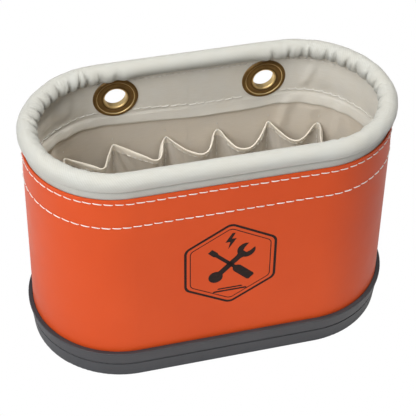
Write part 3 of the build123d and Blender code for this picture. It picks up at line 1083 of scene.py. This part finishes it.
def stitch_row(surface, height, pitch, fill, seed, slant, stray=0.25, inside=False, start=0.0):
    """A level row of stitches round the racetrack, missing out the eyelets. surface(u, z) gives
    the radius, height is a number or a function of u, and fill is a stitch's share of its pitch."""
    rng = np.random.RandomState(seed)
    count = int(round(PERIM / pitch))
    step = PERIM / count
    segments = []
    for k in range(count):
        a = start + k * step + rng.uniform(-0.35, 0.35)
        b = a + step * fill + rng.uniform(-0.4, 0.3)
        z = height(a) if callable(height) else height
        z = z + stray * float(smooth_noise(k * 0.35, seed + 5)) + rng.uniform(-0.12, 0.12)
        xa, ya, nxa, nya = track(a, surface(a, z))
        xb, yb, nxb, nyb = track(b, surface(b, z))
        if ya > 0 and yb > 0 and min(eyelet_distance(x, z) for x in (xa, xb, (xa + xb) / 2)) < 23.2:
            continue
        rise = slant * (b - a)
        normal = np.array([(nxa + nxb) / 2, (nya + nyb) / 2, SLOPE])
        normal /= np.linalg.norm(normal)
        if inside:
            normal = -normal
        segments.append(((xa, ya, z - rise / 2), (xb, yb, z + rise / 2), normal))
    return segments


def on_shell(u, z):
    x, y, _, _ = track(u, 80.0)
    lap = LAP_T if (y > 0 and abs(x) < LAP_HALF) else 0.0
    return float(shell_radius(z)) + 0.05 + lap


def on_band(u, z):
    return float(band_surface(u, z)) - 0.1


def slack_loops():
    """Loops of slack thread that stand up at the needle holes of the band's lower row."""
    rng = np.random.RandomState(9)
    count = int(round(PERIM / STITCH_PITCH))
    segments = []
    for k in range(count):
        u = k * PERIM / count
        if rng.uniform() < 0.25:
            continue
        z = float(row2_in(u))
        x, y, nx, ny = track(u, float(band_surface(u, z)) - 0.25)
        if y > 0 and eyelet_distance(x, z) < 24:
            continue
        half = rng.uniform(0.9, 1.5)
        segments.append(((x + ny * half, y - nx * half, z - 0.7),
                         (x - ny * half, y + nx * half, z + 1.0), (-nx, -ny, 0.0)))
    return segments


def lap_seams():
    """Two upright rows on the shell's rear lap."""
    segments = []
    for x in (-SEAM_X, SEAM_X):
        for z in np.arange(39.5, 186, 7.8):
            y0, y1 = (float(shell_radius(h)) + LAP_T + 0.05 for h in (z, z + 6.6))
            segments.append(((x + 0.15, y0, z), (x - 0.15, y1, z + 6.6),
                             (0, math.cos(DRAFT), math.sin(DRAFT))))
    return segments


def floor_row():
    count = int(PERIM / 6.0)
    r, z = BINDING_R - 4.5, BINDING_Z + 1.12
    return [(at(k * PERIM / count, r, z), at((k + 0.78) * PERIM / count, r, z), (0, 0, 1))
            for k in range(count)]


def between(s, stations, points):
    """The point at station s of a line of points."""
    return np.array([np.interp(s, stations, points[:, c]) for c in range(3)])


def pocket_seam_rows():
    segments = []
    for k in range(POCKETS):
        line = pockets[k * COLUMNS]
        normal = -np.array([pocket_nx[k * COLUMNS, 0], pocket_ny[k * COLUMNS, 0], 0.0])
        for z in np.arange(32.0, 143.0, 7.4):
            segments.append((between(z, pocket_z, line) + normal * 0.9,
                             between(z + 5.8, pocket_z, line) + normal * 0.9, normal))
        sideways = np.array([-normal[1], normal[0], 0.0])
        for down in (0.9, 2.0):                      # bar tack across the peak
            centre = line[-1] + normal * 1.15 - np.array([0, 0, down])
            segments.append((centre - sideways * 1.5, centre + sideways * 1.5, normal))
        # the seam's last stitch, on the liner above the peak
        z = 156.0 + (k * 37 % 5) * 0.4
        seam_u = pocket_seam(k - 4)
        x, y, nx, ny = track(seam_u, float(liner_surface(seam_u, z)) - 0.2)
        segments.append(((x, y, z - 1.3), (x, y, z + 1.0), (-nx, -ny, 0.0)))
    return segments


def pocket_hem_rows():
    """Stitches along each pocket's hem, just above the hem's second mesh row."""
    row = POCKET_NV - 6
    share = 0.30
    segments = []
    for k in range(POCKETS):
        columns = np.arange(k * COLUMNS, (k + 1) * COLUMNS + 1) % POCKET_NU
        path = (pocket_front[columns, row] * (1 - share)
                + pocket_front[columns, row + 1] * share)
        normals = pocket_normals[columns, row]
        lengths = path_lengths(path)
        s = 3.0
        while s + 4.6 < lengths[-1] - 2.0:
            normal = between(s + 2.3, lengths, normals)
            normal /= np.linalg.norm(normal)
            segments.append((between(s, lengths, path) + normal * 0.06,
                             between(s + 4.6, lengths, path) + normal * 0.06, normal))
            s += 6.0
    return segments


sewn("rim_stitches", "rim_stitching",
     stitch_row(on_shell, ROW1_OUT, STITCH_PITCH, fill=0.90, seed=3, slant=0.075)
     + stitch_row(on_band, ROW1_IN, STITCH_PITCH * 0.66, fill=0.62, seed=4, slant=0.12,
                  stray=0.4, inside=True),
     seed=31)
sewn("band_stitches", "band_stitching",
     stitch_row(on_shell, ROW2_OUT, STITCH_PITCH, fill=0.90, seed=5, slant=0.07, start=3.0)
     + stitch_row(lambda u, z: on_band(u, z) - 0.35, row2_in, STITCH_PITCH, fill=0.84, seed=6,
                  slant=0.08, stray=0.4, inside=True)
     + slack_loops(),
     seed=32)
sewn("base_stitches", "base_stitching",
     stitch_row(lambda u, z: 91.1, 18.15, pitch=5.2, fill=0.82, seed=7, slant=0.03, stray=0.05),
     seed=33, lift=0.25, mat=BLACK_THREAD, slot="black_thread")
sewn("shell_seam_stitches", "shell_seam_stitching", lap_seams(), seed=34)
sewn("floor_stitches", "floor_stitching", floor_row(), seed=35, radius=0.4, around=6, along=6)
sewn("pocket_seam_stitches", "pocket_seam_stitching", pocket_seam_rows(),
     seed=36, radius=0.45, around=6, along=7)
sewn("pocket_hem_stitches", None, pocket_hem_rows(), seed=37, radius=0.38, around=6, along=6)

# ------------------------------------------------------------------ print on the front wall
PRINT_X, PRINT_Z = -1.0, 128.0


def make_print(shapes):
    """Thin flat shapes lying on the front wall. Each is (outer points, inner points or None)."""
    cos, sin = math.cos(DRAFT), math.sin(DRAFT)
    wall_y = -float(shell_radius(PRINT_Z))
    verts, faces = [], []

    def place(point, off_wall):
        across, up = point
        return (PRINT_X + across, wall_y + up * sin - cos * off_wall,
                PRINT_Z + up * cos + sin * off_wall)

    for outer, inner in shapes:
        base, count = len(verts), len(outer)
        outline = outer + (inner or [])
        top = len(outline)                           # from a lower vertex to the one above it
        for off_wall in (0.02, 0.10):
            verts += [place(point, off_wall) for point in outline]
        if inner is None:
            faces.append(tuple(range(base + top, base + top + count)))
            faces.append(tuple(range(base, base + count))[::-1])
        for i in range(count):
            a, b = base + i, base + (i + 1) % count
            if inner is not None:
                c, d = a + count, b + count
                faces += [(a + top, b + top, d + top, c + top), (b, a, c, d)]
            faces.append((a, b, b + top, a + top))
            if inner is not None:
                faces.append((d, c, c + top, d + top))
    obj = make_object("front_print", verts, faces, smooth=False)
    outward(obj)
    fit(obj, PRINT, "black_thread")


def arc(radius, centre_y, degrees):
    return [(radius * math.cos(math.radians(a)), centre_y + radius * math.sin(math.radians(a)))
            for a in degrees]


def rounded_hexagon(size, corner):
    points = []
    reach = size - corner / math.cos(math.radians(30))
    for k in range(6):
        a = math.radians(60 * k + 30)
        for i in range(9):
            b = a + math.radians(-30 + 60 * i / 8)
            points.append((reach * math.cos(a) + corner * math.cos(b),
                           reach * math.sin(a) + corner * math.sin(b)))
    return points


def turned(points, degrees):
    cos, sin = math.cos(math.radians(degrees)), math.sin(math.radians(degrees))
    return [(x * cos - y * sin, x * sin + y * cos) for x, y in points]


def bar(y0, half0, y1, half1):
    return [(-half0, y0), (half0, y0), (half1, y1), (-half1, y1)]


DRIVER = [
    (-3.6, -29), (3.6, -29), (4.6, -27), (4.6, -9), (3.4, -6.5), (1.9, -5.2), (1.9, 18), (3.0, 21),
    (2.7, 28), (-2.7, 28), (-3.0, 21), (-1.9, 18), (-1.9, -5.2), (-3.4, -6.5), (-4.6, -9),
    (-4.6, -27)]
SPANNER = (
    arc(8.8, 21, range(62, -66, -14)) + [(3.0, 10.5), (3.0, -13.0)]
    + arc(7.0, -20, range(60, -241, -20)) + [(-3.0, -13.0), (-3.0, 10.5)]
    + arc(8.8, 21, range(245, 117, -14)) + [(-3.6, 22.5), (-2.2, 19.0), (2.2, 19.0), (3.6, 22.5)])
BOLT = [(1.0, 9), (-5.5, -1.5), (-0.9, -1.5), (-2.6, -10), (5.2, 2.2), (0.6, 2.2), (4.2, 9)]

make_print([
    (rounded_hexagon(51.0, 9), rounded_hexagon(48.2, 7.6)),
    (rounded_hexagon(44.8, 6.5), rounded_hexagon(43.8, 6.1)),
    (turned(DRIVER, 45), None),
    (turned(SPANNER, -45), None),
    ([(x, y + 29.5) for x, y in BOLT], None),
    (bar(-34.5, 17, -32.6, 15.6), None),
    (bar(-31.2, 12.4, -29.6, 11.2), None),
])

# ------------------------------------------------------------------ CAD parts
CAD_MATERIALS = {
    "outer_shell": SHELL, "base_tray": BASE,
    "grommet_eyelet_left": BRASS, "grommet_washer_left": BRASS,
    "grommet_eyelet_right": BRASS, "grommet_washer_right": BRASS,
    "rim_core": FOAM,
}
for part, mat in CAD_MATERIALS.items():
    for slot in frame["nodes"][part].material_slots:
        slot.link = "OBJECT"
        slot.material = mat

# ------------------------------------------------------------------ rim cover
RIM_NU = 640
SEAM_ANGLE = -104             # where the cover leaves the band, in degrees round the section
ARC_POINTS = 36


def rim_profile():
    """The cover's middle surface in section: up from the band's top edge on the inside, round the
    cord, tucked in under it on the outside, and down to where it goes behind the wall. Returns
    radii, heights and angles in degrees."""
    tube = RIM_TUBE - COVER_T / 2
    phi = np.radians(np.linspace(SEAM_ANGLE, SEAM_ANGLE - 328, ARC_POINTS))
    r = np.concatenate([[80.0], RIM_R + tube * np.cos(phi), [81.72, 82.12, 82.62, 82.82]])
    z = np.concatenate([[231.6], RIM_Z + tube * np.sin(phi), [233.22, 232.80, 232.0, 230.6]])
    return r, z, np.concatenate([[SEAM_ANGLE], np.degrees(phi), [-433, -434, -435, -436]])


def rim_stations():
    """Lengths along the wall, finer round the ends, where the cover is gathered."""
    even = np.linspace(0, PERIM, 4001)
    density = 0.34 + 0.66 * ease(on_end((even[1:] + even[:-1]) / 2) * 4)
    total = np.concatenate([[0], np.cumsum(density)])
    return np.interp(np.linspace(0, total[-1], RIM_NU + 1), total, even)


GATHER_RUNS = (
    # from, to, step, depth, angle reached up the inner side
    (-STRAIGHT - 150.0, -STRAIGHT + 26.0, 13.5, 1.0, 88.0),          # -X end, round to the rear
    (-STRAIGHT - END + 2.0, -STRAIGHT - 158.0, 15.0, 0.62, 70.0),    # -X end, front
    (STRAIGHT - 6.0, STRAIGHT + 120.0, 14.0, 0.90, 86.0),            # +X end, rear
    (STRAIGHT + 128.0, STRAIGHT + END + 8.0, 16.0, 0.7, 80.0),       # +X end, front
)


def gathers():
    """Folds as (length along the wall, depth, slant in mm per degree, half-width, top angle).
    Angles run from 0 at the inner lower seam to 100 at the top of the roll."""
    rng = np.random.RandomState(404)
    folds = []
    for u, stop, step, depth, top in GATHER_RUNS:
        while u < stop:
            folds.append((u + rng.uniform(-1.6, 1.6), depth * rng.uniform(0.75, 1.15),
                          rng.uniform(-0.05, 0.05), rng.uniform(1.9, 2.9),
                          top + rng.uniform(-14, 16)))
            u += step * rng.uniform(0.82, 1.2)
    return folds


def gather_field(u, angle):
    """How deep in a fold each point lies, and how strongly it takes part in the gathering."""
    fold = np.zeros(np.broadcast_shapes(u.shape, angle.shape))
    full = np.zeros_like(fold)
    for fold_u, depth, slant, half, top in gathers():
        du = wrap(u - (fold_u + slant * (angle - 20.0)))
        reach = 1 - ease((angle - top * 0.35) / (top * 0.65))
        wide = half * (1.0 + 0.6 * (1 - np.clip(angle / 90.0, 0, 1)))
        fold = np.maximum(fold, depth * np.exp(-(np.abs(du) / wide) ** 1.5) * reach)
        full = np.maximum(full, depth * bell(du, 11.0) * reach)
    return fold, full


def drape_rim(stations, profile_r, profile_z, phi):
    u = stations[:-1, None]
    end = on_end(u)
    around = np.mod(u, PERIM)
    angle = np.clip(SEAM_ANGLE - phi, -5, 400)[None, :] * (100.0 / 166.0)
    fold, full = gather_field(around, angle)
    at_seam = bell(phi - SEAM_ANGLE, 9.0)[None, :]
    side = bell(angle - 42.0, 48.0)
    ridge = (3.7 * full - 6.6 * fold) * side * (1 - 0.75 * at_seam)
    # creases run over the top where the cloth is pulled round the ends
    top = bell(angle - 96.0, 46.0)
    over = (noise2(around / 8.5 + angle / 26.0, angle / 55.0, 61) * 0.65
            + noise2(around / 4.6 - angle / 30.0, angle / 40.0, 62) * 0.35)
    lump = noise2(around / 30.0, angle / 60.0, 63)
    lift = (ridge + end * top * 0.75 * over + (0.10 + 0.35 * end) * lump * (angle < 150)
            + 0.05 * noise2(around / 5.0, angle / 9.0, 64))
    lift = np.clip(lift, -1.05, 3.8)
    # the tuck on the outside stays put, and so does the seam
    lift = lift * np.clip((phi + 415.0) / 12.0, 0, 1)[None, :]
    lift[:, 0] = 0
    dr, dz = profile_r - RIM_R, profile_z - RIM_Z
    length = np.hypot(dr, dz)
    start = at(u, profile_r[None, :] + lift * (dr / length)[None, :],
               profile_z[None, :] + lift * (dz / length)[None, :])
    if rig.quick():
        return start

    rest_u, rest_v = spacings(start)
    end_between = (on_end(stations[:-1]) + on_end(stations[1:])) / 2
    inner = bell(angle - 48.0, 45.0)
    links = cloth_links(rest_u * (1.0 + 0.05 * end_between[:, None] * inner), rest_v * 1.004,
                        shear=0.25, bend_u=0.05, bend_v=0.10)
    free = np.ones(start.shape[:2])
    free[:, 0] = 0
    free[:, phi < -420] = 0
    # how near to and how far from the roll's centre line the cloth may lie
    nearest = 6.88
    farthest = 8.05 + 3.9 * np.clip(full * side * 1.5, 0, 1) + 0.5 * end
    kick = noise2(np.arange(RIM_NU)[:, None] / 3.2, np.arange(len(phi))[None, :] / 4.0, 65)

    def section(x):
        centre_x, r, nx, ny = from_track(x)
        a, b = r - RIM_R, x[..., 2] - RIM_Z
        return centre_x, nx, ny, a, b, np.maximum(np.hypot(a, b), 1e-6)

    def force(x, step):
        """Puffs the cloth off the roll, unevenly at first, with a steady weight."""
        _, nx, ny, a, b, away = section(x)
        push = 0.02 + 0.05 * kick * end * (step < 5)
        return np.stack([a / away * nx * push, a / away * ny * push, b / away * push - 0.004], -1)

    def confine(x):
        centre_x, nx, ny, a, b, away = section(x)
        scale = np.where(away < nearest, nearest / away, 1.0)
        scale = np.where(away > farthest, farthest / away, scale)
        r = RIM_R + a * scale
        return np.stack([centre_x + r * nx, r * ny, RIM_Z + b * scale], -1)

    return relax_cloth(start, links, free, steps=16, iterations=9, force=force,
                       confine=confine, max_step=0.8)


def make_rim_cover():
    stations = rim_stations()
    u = stations[:-1, None]
    profile_r, profile_z, phi = rim_profile()
    roll = drape_rim(stations, profile_r, profile_z, phi)
    # the skirt below goes down behind the wall's top edge
    skirt_z = np.array([228.4, 224.0, 220.0])
    skirt = at(u, shell_radius(skirt_z) - SHELL_T - 0.10 - COVER_T / 2, skirt_z)
    cloth = np.concatenate([roll, skirt], 1)
    across = path_lengths(np.stack([profile_r, profile_z], 1))
    across = np.concatenate([across, across[-1] + np.array([2.2, 6.6, 10.6])])
    normals = vertex_normals(cloth)
    normals = normals * np.sign((normals * (cloth - at(u, RIM_R, RIM_Z))).sum(-1).mean())
    half = COVER_T / 2
    cover = sheet("rim_cover_gathered", cloth + normals * half, cloth - normals * half,
                  uv_grid(u, across))
    subdivide(cover)
    fit(cover, RIM_CANVAS, "canvas", "rim_cover")


make_rim_cover()


# ------------------------------------------------------------------ floor, light and camera (metres)
def make_stage():
    mat, n = material("studio_floor")
    mottle = n.noise(n.coords(), scale=3.0, detail=2.0)
    col = n.ramp(mottle, [(0.3, (0.86, 0.86, 0.86)), (0.7, (0.88, 0.88, 0.88))])
    surface = n.camera_switch(
        lighting=n("ShaderNodeBsdfDiffuse", {"Color": col}),
        seen=n("ShaderNodeEmission", {"Color": (1, 1, 1, 1), "Strength": 1.0}))
    n("ShaderNodeOutputMaterial", {"Surface": surface})
    half = 3.0
    mesh = bpy.data.meshes.new("floor")
    mesh.from_pydata([(-half, -half, 0), (half, -half, 0), (half, half, 0), (-half, half, 0)],
                     [], [(0, 1, 2, 3)])
    floor = bpy.data.objects.new("floor", mesh)
    scene.collection.objects.link(floor)
    mesh.materials.append(mat)
    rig.stage(floor)


def make_world():
    """Light that falls off towards +X, seen by the camera as plain white."""
    world = bpy.data.worlds.new("studio")
    scene.world = world
    world.use_nodes = True
    n = Nodes(world.node_tree)
    x = n("ShaderNodeSeparateXYZ", {0: n.coords("Generated")}).outputs[0]
    side = n.ramp(n.add(n.mul(x, 0.5), 0.5), [
        (0.0, (0.46, 0.46, 0.46)), (0.45, (0.30, 0.30, 0.31)),
        (0.68, (0.13, 0.13, 0.137)), (1.0, (0.03, 0.03, 0.035))])
    surface = n.camera_switch(
        lighting=n("ShaderNodeBackground", {"Color": side, "Strength": 1.0}),
        seen=n("ShaderNodeBackground", {"Color": (1, 1, 1, 1), "Strength": 1.0}))
    n("ShaderNodeOutputWorld", {"Surface": surface})


def area_light(name, location, target, size, power, color=(1, 1, 1)):
    light = bpy.data.lights.new(name, "AREA")
    light.shape = "RECTANGLE"
    light.size, light.size_y = size
    light.energy = power
    light.color = color
    obj = bpy.data.objects.new(name, light)
    obj.location = location
    obj.rotation_mode = "QUATERNION"
    obj.rotation_quaternion = (Vector(target) - Vector(location)).to_track_quat("-Z", "Y")
    scene.collection.objects.link(obj)


def make_camera():
    position = Vector((-0.2341, -0.8610, 0.9422))
    target = Vector((0.00156, 0.0, 0.12005))
    roll = 0.0227                                    # radians
    forward = (target - position).normalized()
    level = forward.cross(Vector((0, 0, 1))).normalized()
    upright = level.cross(forward)
    right = math.cos(roll) * level + math.sin(roll) * upright
    up = -math.sin(roll) * level + math.cos(roll) * upright
    camera = bpy.data.cameras.new("camera")
    camera.sensor_width = 36.0
    camera.lens = 107.011298
    camera.shift_x = -0.00375480769
    camera.shift_y = -0.000694711538
    camera.clip_start, camera.clip_end = 0.01, 50
    obj = bpy.data.objects.new("camera", camera)
    matrix = Matrix((right, up, -forward)).transposed().to_4x4()
    matrix.translation = position
    obj.matrix_world = matrix
    scene.collection.objects.link(obj)
    scene.camera = obj


make_stage()
make_world()
area_light("key", location=(-0.85, -0.75, 1.05), target=(0, 0, 0.15), size=(0.8, 0.8), power=12.0)
area_light("top", location=(-0.22, -0.35, 1.5), target=(0, 0.02, 0.1), size=(0.9, 0.7), power=9.0)
area_light("inside", location=(0.27, -0.02, 1.25), target=(-0.10, 0.02, 0.15),
           size=(0.22, 0.22), power=6.0, color=(1.0, 0.96, 0.90))
area_light("fill", location=(0.3, -1.3, 0.45), target=(0, 0, 0.12), size=(1.0, 0.6), power=0.28)
make_camera()
scene.view_settings.view_transform = "Standard"
scene.view_settings.look = "None"

new_lo, new_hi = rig.bounds()
json.dump({"cad": [list(cad_lo), list(cad_hi)], "visual": [list(new_lo), list(new_hi)]},
          open("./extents.json", "w"))
